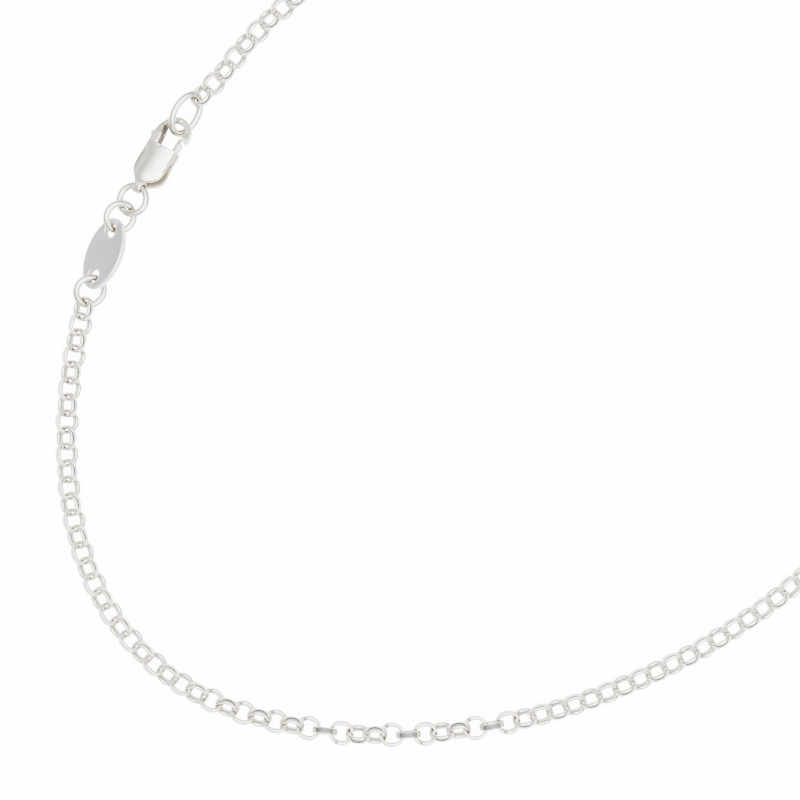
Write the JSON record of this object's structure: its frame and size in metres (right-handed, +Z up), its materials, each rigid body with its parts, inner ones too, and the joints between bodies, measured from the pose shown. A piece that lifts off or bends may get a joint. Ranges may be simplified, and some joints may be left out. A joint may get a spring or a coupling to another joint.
{
  "type": "necklace",
  "caption": "Rolo chain necklace in polished silver, laid flat as a closed loop, with a lobster clasp, a plain oval tag and jump rings.",
  "frame": {"origin": "on the surface that the necklace lies on, below the middle of the loop", "axes": "+Z up from the surface, +Y along the loop's length to the end away from the tag, -X the side with the clasp"},
  "size_m": [0.0854, 0.1864, 0.0032],
  "materials": {
    "silver": "polished silver",
    "satin_silver": "fine satin silver"
  },
  "bodies": {
    "necklace": {"rolo_chain": "silver", "oval_ring": "silver", "clasp_body": "silver", "clasp_pin": "silver", "clasp_ring": "silver", "tag_ring_upper": "silver", "oval_tag": "satin_silver", "tag_ring_lower": "silver"},
    "lever": {"clasp_lever": "silver"}
  },
  "joints": [
    {"name": "clasp_lever_pivot", "type": "hinge", "parent": "necklace", "child": "lever", "pos_m": [-0.03684, -0.05721, 0.00181], "axis": [-0.3177, 0.0118, 0.9481], "range_deg": [0, 18], "stiffness_Nm_per_rad": 0.01}
  ]
}
